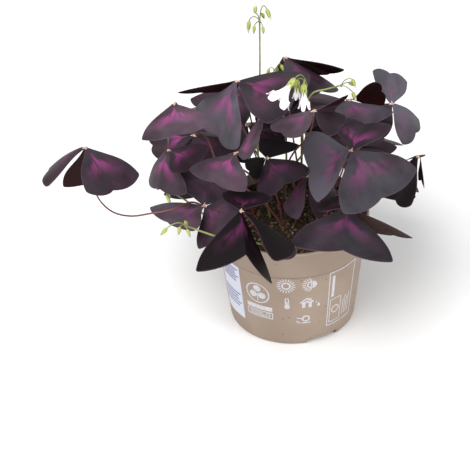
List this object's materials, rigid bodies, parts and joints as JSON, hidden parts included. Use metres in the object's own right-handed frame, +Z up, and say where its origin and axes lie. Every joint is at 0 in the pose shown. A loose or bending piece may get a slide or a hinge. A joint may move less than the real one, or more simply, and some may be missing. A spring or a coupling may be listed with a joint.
{
  "type": "potted purple shamrock plant",
  "caption": "Purple shamrock (Oxalis triangularis) with three-part dark purple leaves on thin leafstalks, buds and pale flowers, growing in a round taupe plastic nursery pot.",
  "frame": {"origin": "centre of the pot's flat underside", "axes": "+Z up along the pot's axis, +Y from the side that the plant shows best towards its back, +X to the right of that side"},
  "size_m": [0.2838, 0.2737, 0.263],
  "materials": {
    "pot": "matte taupe recycled plastic with faint dark specks and plain off-white care pictograms",
    "soil": "rough, damp dark brown potting mix with pale grains",
    "leaf_blade": "satin dark purple with a magenta blotch above, maroon below",
    "leafstalk": "satin reddish brown",
    "flower_stalk": "satin yellow-green",
    "petal": "soft white, faintly pink"
  },
  "bodies": {
    "root": {"pot": "pot", "potting_soil": "soil", "leaf_01": "leaf_blade", "leaf_02": "leaf_blade", "leaf_03": "leaf_blade", "leaf_04": "leaf_blade", "leaf_05": "leaf_blade", "leaf_06": "leaf_blade", "leaf_07": "leaf_blade", "leaf_08": "leaf_blade", "leaf_09": "leaf_blade", "leaf_10": "leaf_blade", "leaf_11": "leaf_blade", "leaf_12": "leaf_blade", "leaf_13": "leaf_blade", "leaf_14": "leaf_blade", "leaf_15": "leaf_blade", "leaf_16": "leaf_blade", "leaf_17": "leaf_blade", "leaf_18": "leaf_blade", "leaf_19": "leaf_blade", "leaf_20": "leaf_blade", "leaf_21": "leaf_blade", "leaf_22": "leaf_blade", "leaf_23": "leaf_blade", "leaf_24": "leaf_blade", "leaf_25": "leaf_blade", "leaf_26": "leaf_blade", "leaf_27": "leaf_blade", "leafstalks_1": "leafstalk", "leafstalks_2": "leafstalk", "leafstalks_3": "leafstalk", "leafstalks_4": "leafstalk", "leafstalks_5": "leafstalk", "leafstalks_6": "leafstalk", "leafstalks_7": "leafstalk", "leafstalks_8": "leafstalk", "flower_stalk_1": "flower_stalk", "flower_stalk_2": "flower_stalk", "flower_stalk_3": "flower_stalk", "flower_stalk_4": "flower_stalk", "flower_stalk_5": "flower_stalk", "flower_stalk_6": "flower_stalk", "corolla_1": "petal", "corolla_2": "petal", "corolla_3": "petal"}
  },
  "joints": []
}
